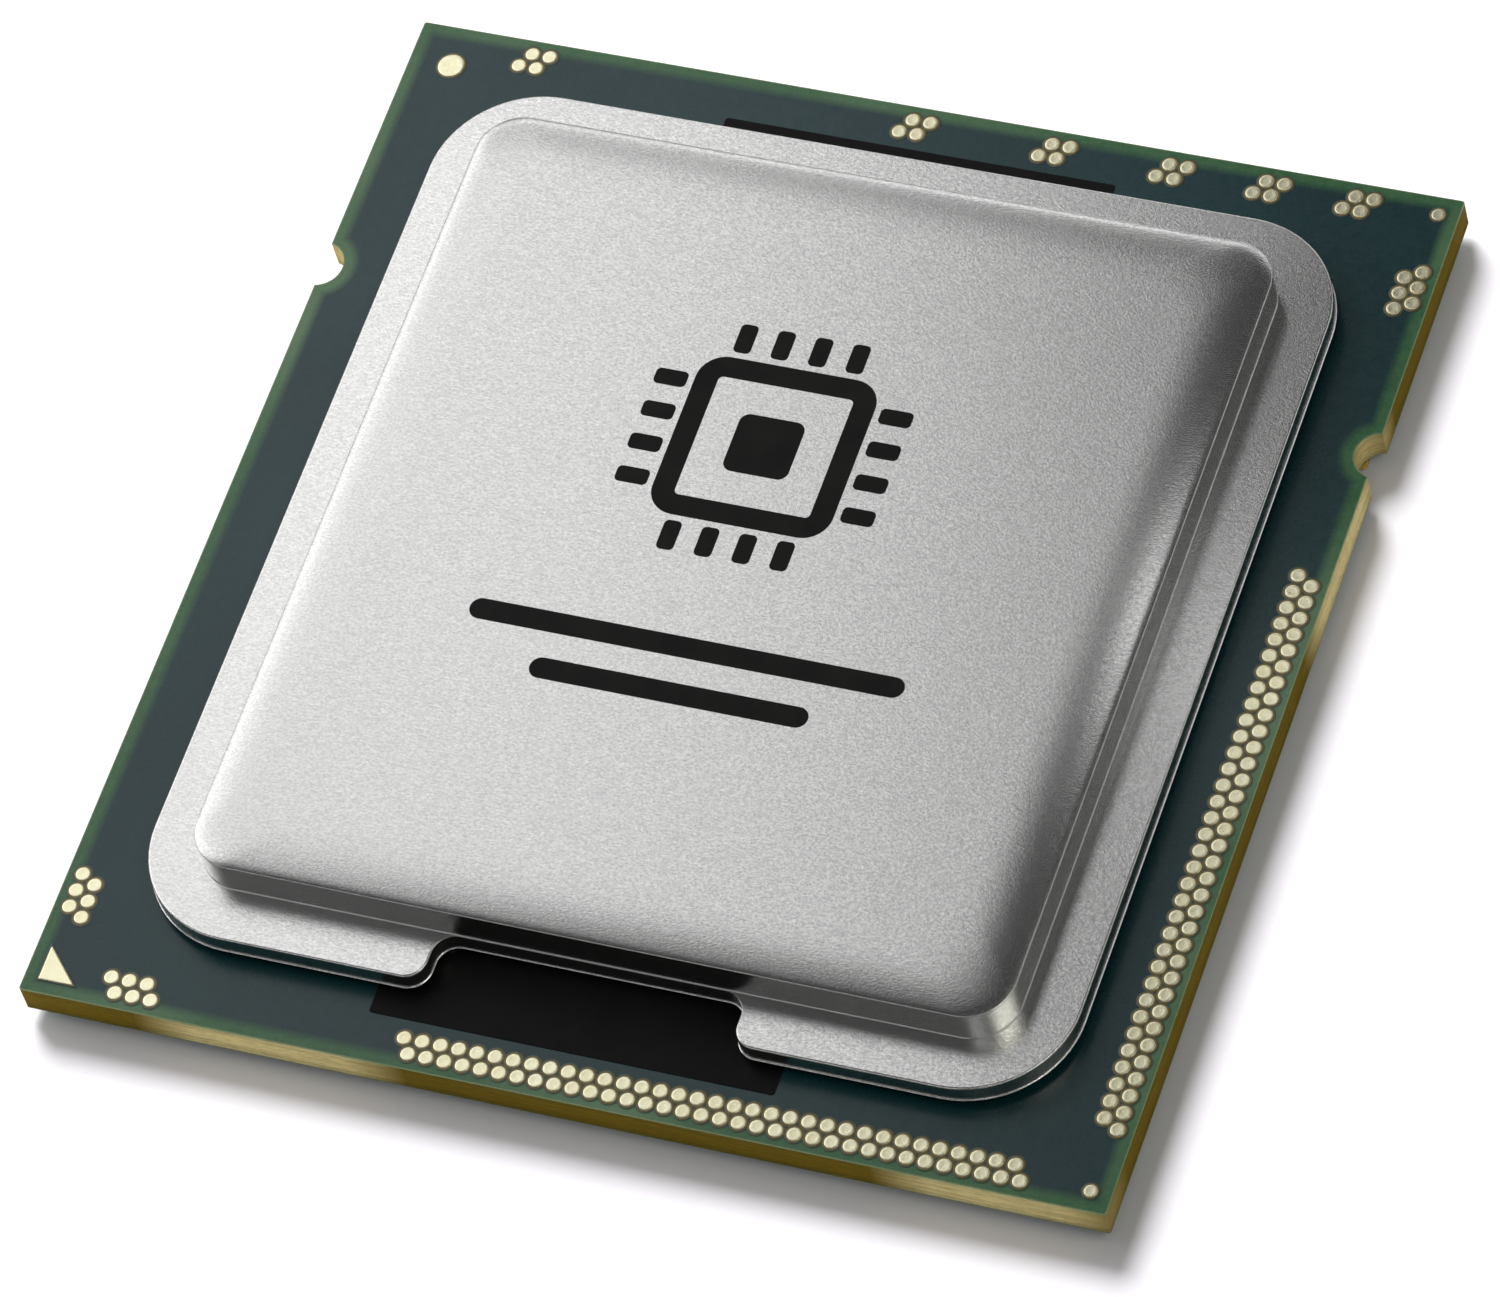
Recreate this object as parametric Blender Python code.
"""Desktop processor in a 42.5 x 45.0 mm land-grid package.

Frame: metres, +Z up.  The origin is on the surface the package lies on, below the
centre of the package.  +X points to the right long side, +Y to the rear edge, and the
corner with the pin-one triangle is at -X, -Y.  Nothing on the object moves.
"""

import math

import bmesh
import bpy
from mathutils import Matrix

# ---------------------------------------------------------------- driving dimensions
PACKAGE_X = 0.0425
PACKAGE_Y = 0.0450
KEY_NOTCH_RADIUS = 0.0010
KEY_NOTCH_OFFSET = 0.0002
KEY_NOTCH_Y = 0.01074

# Laminate stack, from the land side up.
LAND_SIDE_Z = 0.00055
MASK_THICKNESS = 0.00003
BUILDUP_THICKNESS = 0.00022
CORE_THICKNESS = 0.00080
LAYER_GAP = 0.00001

# Heat spreader: a flange with a notch in its front edge, and a raised plateau.
FLANGE_X = 0.0365
FLANGE_Y = 0.0389
FLANGE_CORNER = 0.0042
FLANGE_THICKNESS = 0.00080
PLATEAU_X = 0.0321
PLATEAU_Y = 0.03455
PLATEAU_CORNER = 0.0018
PLATEAU_ABOVE_PACKAGE = 0.00295
PLATEAU_EDGE_DROP = 0.00022
PLATEAU_ROLL_WIDTH = 0.0022
LID_NOTCH_HALF = 0.0060
LID_NOTCH_LEDGE = 0.00008
LID_NOTCH_INNER_RADIUS = 0.0008
LID_NOTCH_OUTER_RADIUS = 0.0009
CAVITY_X = 0.0270
CAVITY_Y = 0.0295
CAVITY_CORNER = 0.0020

# Sealant bead between the lid and the package, open at the front as a vent.
SEALANT_THICKNESS = 0.00030
SEALANT_INSET = 0.0003
SEALANT_INNER_X = 0.0295
SEALANT_INNER_Y = 0.0320
SEALANT_INNER_CORNER = 0.0020
SEALANT_VENT = 0.0025

# Die stack under the lid.
DIE_X = 0.0189
DIE_Y = 0.0139
DIE_THICKNESS = 0.000775
UNDERFILL_THICKNESS = 0.00007
UNDERFILL_FOOT = 0.0011
SOLDER_MARGIN = 0.0003

# Gold pads on the top face.
PAD_PITCH = 0.000718
PAD_ROW_SPACING = 0.000615
PAD_DIAMETER = 0.00058
PAD_THICKNESS = 0.00003
PAD_WEB_THICKNESS = 0.000015
PAD_SIDES = 8
REAR_ROW_Y = 0.021845
FRONT_ROW_Y = -0.021870
SIDE_COLUMN_X = 0.020620
STRIP_PADS_PER_ROW = 34
FRONT_STRIP_X = -0.006243
RIGHT_STRIP_Y = 0.004994
REAR_CLUSTER_X = (-0.016470, -0.000725, 0.004945, 0.009680, 0.013560, 0.017120)
RIGHT_CLUSTER_Y = 0.019015
LEFT_CLUSTER_Y = -0.017290
FRONT_CLUSTER_X = -0.017947
FIDUCIAL_CENTRE = (-0.019480, 0.020680)
FIDUCIAL_DIAMETER = 0.00105
DOT_CENTRE_X = 0.020435
DOT_CENTRE_Y = 0.021680
DOT_DIAMETER = 0.00052
TRIANGLE_CORNER = (-0.020650, -0.021930)
TRIANGLE_LEG = 0.00142

# Black ink panels that show at the lid's front notch and behind its rear edge.
INK_PANEL_HALF_X = 0.00794
INK_PANEL_OUTER_Y = 0.02050
INK_PANEL_DEPTH = 0.0034
INK_THICKNESS = 0.000015

# Land field: 41 columns by 43 rows around an empty middle of 17 by 21.
LAND_PITCH = 0.001016
LAND_SIZE = 0.00072
LAND_THICKNESS = 0.00003
LAND_COLUMNS = 41
LAND_ROWS = 43
EMPTY_COLUMNS = 17
EMPTY_ROWS = 21

# Chip capacitors on the land side.
CAPACITOR_LENGTH = 0.00160
CAPACITOR_WIDTH = 0.00080
CAPACITOR_WAIST = 0.00070
CAPACITOR_END = 0.00035
CAPACITOR_HEIGHT = 0.00053
CAPACITOR_COLUMNS = 4
CAPACITOR_ROWS = 6
CAPACITOR_SPACING_X = 0.0040
CAPACITOR_SPACING_Y = 0.0034

# ---------------------------------------------------------------- levels
BOTTOM_MASK_Z = LAND_SIDE_Z
LOWER_BUILDUP_Z = BOTTOM_MASK_Z + MASK_THICKNESS + LAYER_GAP
CORE_Z = LOWER_BUILDUP_Z + BUILDUP_THICKNESS + LAYER_GAP
UPPER_BUILDUP_Z = CORE_Z + CORE_THICKNESS + LAYER_GAP
TOP_MASK_Z = UPPER_BUILDUP_Z + BUILDUP_THICKNESS + LAYER_GAP
PACKAGE_TOP = TOP_MASK_Z + MASK_THICKNESS
ON_PACKAGE = PACKAGE_TOP + LAYER_GAP
SEALANT_Z = ON_PACKAGE + INK_THICKNESS + LAYER_GAP
LID_Z = SEALANT_Z + SEALANT_THICKNESS + LAYER_GAP
LID_TOP = PACKAGE_TOP + PLATEAU_ABOVE_PACKAGE
DIE_Z = ON_PACKAGE + UNDERFILL_THICKNESS + LAYER_GAP
SOLDER_Z = DIE_Z + DIE_THICKNESS + LAYER_GAP
SOLDER_THICKNESS = 0.00024
CAVITY_TOP = SOLDER_Z + SOLDER_THICKNESS + LAYER_GAP


# ---------------------------------------------------------------- scene helpers
def clear_scene():
    """Remove every object so that the model starts from an empty scene."""
    for item in list(bpy.data.objects):
        bpy.data.objects.remove(item, do_unlink=True)


def new_collection(name):
    collection = bpy.data.collections.new(name)
    bpy.context.scene.collection.children.link(collection)
    return collection


def new_material(name, colour, roughness, metallic=0.0):
    material = bpy.data.materials.new(name)
    material.use_nodes = True
    shader = material.node_tree.nodes["Principled BSDF"]
    shader.inputs["Base Color"].default_value = (*colour, 1.0)
    shader.inputs["Roughness"].default_value = roughness
    shader.inputs["Metallic"].default_value = metallic
    material.diffuse_color = (*colour, 1.0)
    return material


def add_object(name, mesh, material, collection):
    item = bpy.data.objects.new(name, mesh)
    mesh.materials.clear()
    mesh.materials.append(material)
    collection.objects.link(item)
    return item


def add_boolean(item, operation, cutter):
    """Join or cut item with another mesh object, which becomes a hidden guide."""
    modifier = item.modifiers.new(operation.title(), "BOOLEAN")
    modifier.operation = operation
    modifier.solver = "EXACT"
    modifier.object = cutter
    cutter.hide_render = True
    cutter.display_type = "WIRE"


# ---------------------------------------------------------------- outlines
def arc(centre_x, centre_y, radius, start, end, steps):
    """Points along an arc from start to end, both in degrees."""
    points = []
    for step in range(steps + 1):
        angle = math.radians(start + (end - start) * step / steps)
        points.append((centre_x + radius * math.cos(angle), centre_y + radius * math.sin(angle)))
    return points


def rounded_rectangle(size_x, size_y, radius, steps=6):
    centre_x = size_x / 2 - radius
    centre_y = size_y / 2 - radius
    points = arc(centre_x, -centre_y, radius, -90, 0, steps)
    points += arc(centre_x, centre_y, radius, 0, 90, steps)
    points += arc(-centre_x, centre_y, radius, 90, 180, steps)
    points += arc(-centre_x, -centre_y, radius, 180, 270, steps)
    return points


def rectangle(centre_x, centre_y, size_x, size_y):
    x = size_x / 2
    y = size_y / 2
    corners = ((-x, -y), (x, -y), (x, y), (-x, y))
    return [(centre_x + dx, centre_y + dy) for dx, dy in corners]


def package_outline(steps=12):
    """The package's edge, with a round key notch on each long side."""
    x = PACKAGE_X / 2
    y = PACKAGE_Y / 2
    centre = x + KEY_NOTCH_OFFSET
    reach = math.degrees(math.acos(KEY_NOTCH_OFFSET / KEY_NOTCH_RADIUS))
    points = [(x, -y)]
    points += arc(centre, KEY_NOTCH_Y, KEY_NOTCH_RADIUS, 180 + reach, 180 - reach, steps)
    points += [(x, y), (-x, y)]
    points += arc(-centre, KEY_NOTCH_Y, KEY_NOTCH_RADIUS, reach, -reach, steps)
    points.append((-x, -y))
    return points


def lid_outline(inset=0.0, steps=6):
    """The flange's edge moved inwards by inset, from the middle of its front notch."""
    x = FLANGE_X / 2 - inset
    y = FLANGE_Y / 2 - inset
    corner = FLANGE_CORNER - inset
    inner = LID_NOTCH_INNER_RADIUS + inset
    outer = LID_NOTCH_OUTER_RADIUS - inset
    gap = LID_NOTCH_HALF + inset
    notch_y = -PLATEAU_Y / 2 - LID_NOTCH_LEDGE + inset
    right_side = arc(gap - inner, notch_y - inner, inner, 90, 0, steps)
    right_side += arc(gap + outer, -y + outer, outer, 180, 270, steps)
    right_side += arc(x - corner, -y + corner, corner, -90, 0, steps)
    right_side += arc(x - corner, y - corner, corner, 0, 90, steps)
    left_side = [(-px, py) for px, py in reversed(right_side)]
    return right_side + left_side


def sealant_outline():
    """A bead that follows the flange's edge and stops on both sides of the vent."""
    half_vent = SEALANT_VENT / 2
    outer = lid_outline(SEALANT_INSET)
    inner = rounded_rectangle(SEALANT_INNER_X, SEALANT_INNER_Y, SEALANT_INNER_CORNER)
    front_y = -PLATEAU_Y / 2 - LID_NOTCH_LEDGE + SEALANT_INSET
    outer = [(half_vent, front_y)] + outer + [(-half_vent, front_y)]
    inner_y = -SEALANT_INNER_Y / 2
    inner = [(half_vent, inner_y)] + inner + [(-half_vent, inner_y)]
    return outer + inner[::-1]


# ---------------------------------------------------------------- solids
def plate(name, outlines, bottom, thickness, material, collection):
    """A flat plate with the given outlines, from a filled curve made into a mesh."""
    curve = bpy.data.curves.new(name, "CURVE")
    curve.dimensions = "2D"
    curve.fill_mode = "BOTH"
    curve.extrude = thickness / 2
    for outline in outlines:
        spline = curve.splines.new("POLY")
        spline.points.add(len(outline) - 1)
        for point, (x, y) in zip(spline.points, outline):
            point.co = (x, y, 0.0, 1.0)
        spline.use_cyclic_u = True
    guide = bpy.data.objects.new(name + "_outline", curve)
    collection.objects.link(guide)
    depsgraph = bpy.context.evaluated_depsgraph_get()
    mesh = bpy.data.meshes.new_from_object(guide.evaluated_get(depsgraph))
    bpy.data.objects.remove(guide, do_unlink=True)
    mesh.name = name
    work = bmesh.new()
    work.from_mesh(mesh)
    bmesh.ops.remove_doubles(work, verts=work.verts, dist=1e-6)
    bmesh.ops.translate(work, verts=work.verts, vec=(0.0, 0.0, bottom + thickness / 2))
    bmesh.ops.recalc_face_normals(work, faces=work.faces)
    work.to_mesh(mesh)
    work.free()
    return add_object(name, mesh, material, collection)


def discs(name, centres, diameter, bottom, thickness, material, collection, sides=24):
    """One or more upright discs of one size, in one mesh."""
    mesh = bpy.data.meshes.new(name)
    work = bmesh.new()
    radius = diameter / 2
    for x, y in centres:
        place = Matrix.Translation((x, y, bottom + thickness / 2))
        bmesh.ops.create_cone(
            work, cap_ends=True, segments=sides, radius1=radius, radius2=radius, depth=thickness, matrix=place
        )
    work.to_mesh(mesh)
    work.free()
    return add_object(name, mesh, material, collection)


def block(name, size, centre, material, collection, foot=0.0):
    """A box whose lower face is wider than its upper face by foot on every side."""
    mesh = bpy.data.meshes.new(name)
    work = bmesh.new()
    bmesh.ops.create_cube(work, size=1.0)
    bmesh.ops.scale(work, verts=work.verts, vec=size)
    lower = [vertex for vertex in work.verts if vertex.co.z < 0.0]
    widen = (1.0 + 2 * foot / size[0], 1.0 + 2 * foot / size[1], 1.0)
    bmesh.ops.scale(work, verts=lower, vec=widen)
    bmesh.ops.translate(work, verts=work.verts, vec=centre)
    work.to_mesh(mesh)
    work.free()
    return add_object(name, mesh, material, collection)


# ---------------------------------------------------------------- package laminate
def build_laminate(parts):
    """Core, build-up layers and solder masks, all with the same edge."""
    glass = new_material("core_glass_laminate", (0.55, 0.42, 0.18), 0.55)
    resin = new_material("buildup_resin", (0.42, 0.33, 0.12), 0.5)
    mask = new_material("solder_mask_green", (0.03, 0.07, 0.07), 0.35)
    layers = (
        ("bottom_solder_mask", BOTTOM_MASK_Z, MASK_THICKNESS, mask),
        ("lower_buildup_layers", LOWER_BUILDUP_Z, BUILDUP_THICKNESS, resin),
        ("core_laminate", CORE_Z, CORE_THICKNESS, glass),
        ("upper_buildup_layers", UPPER_BUILDUP_Z, BUILDUP_THICKNESS, resin),
        ("top_solder_mask", TOP_MASK_Z, MASK_THICKNESS, mask),
    )
    for name, bottom, thickness, material in layers:
        plate(name, [package_outline()], bottom, thickness, material, parts)


def build_ink_panels(parts):
    ink = new_material("black_ink", (0.01, 0.01, 0.011), 0.3)
    centre_y = INK_PANEL_OUTER_Y - INK_PANEL_DEPTH / 2
    for name, side in (("front_ink_panel", -1), ("rear_ink_panel", 1)):
        outline = rectangle(0.0, side * centre_y, 2 * INK_PANEL_HALF_X, INK_PANEL_DEPTH)
        plate(name, [outline], ON_PACKAGE, INK_THICKNESS, ink, parts)


# ---------------------------------------------------------------- pads on the top face
def staggered_pads(start_x, start_y, count, along, across, stagger=0.5):
    """Centres of two rows of pads, the second moved along by stagger pitches."""
    centres = []
    for row in range(2):
        for index in range(count):
            run = (index + row * stagger) * PAD_PITCH
            shift = row * PAD_ROW_SPACING
            x = start_x + along[0] * run + across[0] * shift
            y = start_y + along[1] * run + across[1] * shift
            centres.append((x, y))
    return centres


def pad_group(name, centres, material, parts, cutters):
    """Two rows of round pads that stand on a thin copper web, as one solid."""
    half = len(centres) // 2
    web = [centres[0], centres[half - 1], centres[-1], centres[half]]
    group = plate(name, [web], ON_PACKAGE, PAD_WEB_THICKNESS, material, parts)
    bottom = ON_PACKAGE + LAYER_GAP / 2
    height = PAD_THICKNESS - LAYER_GAP / 2
    pads = discs(name + "_form", centres, PAD_DIAMETER, bottom, height, material, cutters, PAD_SIDES)
    add_boolean(group, "UNION", pads)


def build_pads(parts, cutters):
    gold = new_material("gold_pad", (0.85, 0.75, 0.48), 0.3, 1.0)
    for index, x in enumerate(REAR_CLUSTER_X):
        rear = staggered_pads(x, REAR_ROW_Y, 2, (1, 0), (0, -1), -0.5)
        pad_group(f"rear_test_pads_{index + 1}", rear, gold, parts, cutters)
    right = staggered_pads(SIDE_COLUMN_X, RIGHT_CLUSTER_Y, 3, (0, -1), (-1, 0))
    pad_group("right_test_pads", right, gold, parts, cutters)
    left = staggered_pads(-SIDE_COLUMN_X, LEFT_CLUSTER_Y, 3, (0, -1), (1, 0))
    pad_group("left_test_pads", left, gold, parts, cutters)
    front = staggered_pads(FRONT_CLUSTER_X, FRONT_ROW_Y + PAD_ROW_SPACING, 3, (1, 0), (0, -1))
    pad_group("front_left_test_pads", front, gold, parts, cutters)
    count = STRIP_PADS_PER_ROW
    front = staggered_pads(FRONT_STRIP_X, FRONT_ROW_Y + PAD_ROW_SPACING, count, (1, 0), (0, -1))
    pad_group("front_test_pad_strip", front, gold, parts, cutters)
    right = staggered_pads(SIDE_COLUMN_X - PAD_ROW_SPACING, RIGHT_STRIP_Y, count, (0, -1), (1, 0))
    pad_group("right_test_pad_strip", right, gold, parts, cutters)
    build_corner_marks(gold, parts)


def build_corner_marks(gold, parts):
    x, y = TRIANGLE_CORNER
    triangle = [(x, y), (x + TRIANGLE_LEG, y), (x, y + TRIANGLE_LEG)]
    plate("pin_one_triangle", [triangle], ON_PACKAGE, PAD_THICKNESS, gold, parts)
    mark = [FIDUCIAL_CENTRE]
    discs("rear_left_fiducial", mark, FIDUCIAL_DIAMETER, ON_PACKAGE, PAD_THICKNESS, gold, parts)
    for name, side in (("front_right_dot", -1), ("rear_right_dot", 1)):
        dot = [(DOT_CENTRE_X, side * DOT_CENTRE_Y)]
        discs(name, dot, DOT_DIAMETER, ON_PACKAGE, PAD_THICKNESS, gold, parts, 16)


# ---------------------------------------------------------------- lid and what it covers
def build_heat_spreader(parts, cutters):
    nickel = new_material("brushed_nickel", (0.72, 0.72, 0.71), 0.28, 1.0)
    lid = plate("heat_spreader", [lid_outline()], LID_Z, FLANGE_THICKNESS, nickel, parts)
    base = LID_Z + FLANGE_THICKNESS / 2
    plateau = lofted_plateau("plateau_form", base, nickel, cutters)
    add_boolean(lid, "UNION", plateau)
    cavity_outline = rounded_rectangle(CAVITY_X, CAVITY_Y, CAVITY_CORNER)
    depth = CAVITY_TOP - LID_Z + FLANGE_THICKNESS
    cavity = plate("cavity_form", [cavity_outline], CAVITY_TOP - depth, depth, nickel, cutters)
    add_boolean(lid, "DIFFERENCE", cavity)


def lofted_plateau(name, base, material, collection):
    """The plateau: upright walls, then a top that rolls off towards its edges."""
    sections = [(0.0, base), (0.0, LID_TOP - PLATEAU_EDGE_DROP)]
    for step in (1, 2, 3, 4):
        share = step / 4
        drop = PLATEAU_EDGE_DROP * (1.0 - share) ** 2
        sections.append((share * PLATEAU_ROLL_WIDTH, LID_TOP - drop))
    work = bmesh.new()
    rings = []
    for inset, level in sections:
        size_x = PLATEAU_X - 2 * inset
        size_y = PLATEAU_Y - 2 * inset
        outline = rounded_rectangle(size_x, size_y, PLATEAU_CORNER)
        rings.append([work.verts.new((x, y, level)) for x, y in outline])
    work.faces.new(rings[0][::-1])
    work.faces.new(rings[-1])
    for lower, upper in zip(rings, rings[1:]):
        for index in range(len(lower)):
            after = (index + 1) % len(lower)
            work.faces.new((lower[index], lower[after], upper[after], upper[index]))
    bmesh.ops.recalc_face_normals(work, faces=work.faces)
    mesh = bpy.data.meshes.new(name)
    work.to_mesh(mesh)
    work.free()
    return add_object(name, mesh, material, collection)


def build_sealant(parts):
    rubber = new_material("black_sealant", (0.012, 0.012, 0.012), 0.5)
    plate("lid_sealant", [sealant_outline()], SEALANT_Z, SEALANT_THICKNESS, rubber, parts)


def build_die_stack(parts):
    """Underfill, silicon die and the solder layer that ties the die to the lid."""
    resin = new_material("underfill_resin", (0.02, 0.025, 0.05), 0.4)
    silicon = new_material("silicon", (0.22, 0.23, 0.26), 0.12, 0.7)
    indium = new_material("indium_solder", (0.66, 0.66, 0.68), 0.4, 1.0)
    underfill = (DIE_X, DIE_Y, UNDERFILL_THICKNESS)
    level = ON_PACKAGE + UNDERFILL_THICKNESS / 2
    block("die_underfill", underfill, (0.0, 0.0, level), resin, parts, UNDERFILL_FOOT)
    die = (DIE_X, DIE_Y, DIE_THICKNESS)
    block("silicon_die", die, (0.0, 0.0, DIE_Z + DIE_THICKNESS / 2), silicon, parts)
    solder = (DIE_X + 2 * SOLDER_MARGIN, DIE_Y + 2 * SOLDER_MARGIN, SOLDER_THICKNESS)
    block("solder_thermal_layer", solder, (0.0, 0.0, SOLDER_Z + SOLDER_THICKNESS / 2), indium, parts)


# ---------------------------------------------------------------- land side
def build_land_fields(parts):
    """Two opposing L-shaped fields of contact lands, as the plates that they cover."""
    gold = new_material("gold_land", (0.88, 0.72, 0.38), 0.28, 1.0)
    margin = LAND_SIZE / 2
    outer_x = (LAND_COLUMNS - 1) / 2 * LAND_PITCH + margin
    outer_y = (LAND_ROWS - 1) / 2 * LAND_PITCH + margin
    inner_x = (EMPTY_COLUMNS + 1) / 2 * LAND_PITCH - margin
    inner_y = (EMPTY_ROWS + 1) / 2 * LAND_PITCH - margin
    arm_end = inner_y - 2 * LAND_PITCH + LAND_SIZE
    front_left = [
        (-outer_x, -outer_y),
        (outer_x, -outer_y),
        (outer_x, -inner_y),
        (-inner_x, -inner_y),
        (-inner_x, arm_end),
        (-outer_x, arm_end),
    ]
    rear_right = [(-x, -y) for x, y in front_left]
    bottom = LAND_SIDE_Z - LAYER_GAP - LAND_THICKNESS
    for name, outline in (("front_left_lands", front_left), ("rear_right_lands", rear_right)):
        plate(name, [outline], bottom, LAND_THICKNESS, gold, parts)


def capacitor_outline():
    """Plan view of a chip capacitor, wider over its two metal ends."""
    x = CAPACITOR_LENGTH / 2
    y = CAPACITOR_WIDTH / 2
    waist_x = x - CAPACITOR_END
    waist_y = CAPACITOR_WAIST / 2
    right = [(waist_x, -waist_y), (waist_x, -y), (x, -y), (x, y), (waist_x, y), (waist_x, waist_y)]
    left = [(-px, -py) for px, py in right]
    return right + left


def build_capacitors(parts):
    """A grid of chip capacitors in the empty middle of the land field."""
    ceramic = new_material("capacitor_ceramic", (0.42, 0.30, 0.20), 0.45)
    first = plate("land_side_capacitor_01", [capacitor_outline()], 0.0, CAPACITOR_HEIGHT, ceramic, parts)
    middle_column = (CAPACITOR_COLUMNS - 1) / 2
    middle_row = (CAPACITOR_ROWS - 1) / 2
    for index in range(CAPACITOR_COLUMNS * CAPACITOR_ROWS):
        row, column = divmod(index, CAPACITOR_COLUMNS)
        item = first
        if index > 0:
            item = bpy.data.objects.new(f"land_side_capacitor_{index + 1:02d}", first.data)
            parts.objects.link(item)
        x = (column - middle_column) * CAPACITOR_SPACING_X
        y = (row - middle_row) * CAPACITOR_SPACING_Y
        item.location = (x, y, 0.0)


def build():
    clear_scene()
    parts = new_collection("cpu_processor")
    cutters = new_collection("cutters")
    build_laminate(parts)
    build_ink_panels(parts)
    build_pads(parts, cutters)
    build_heat_spreader(parts, cutters)
    build_sealant(parts)
    build_die_stack(parts)
    build_land_fields(parts)
    build_capacitors(parts)


build()
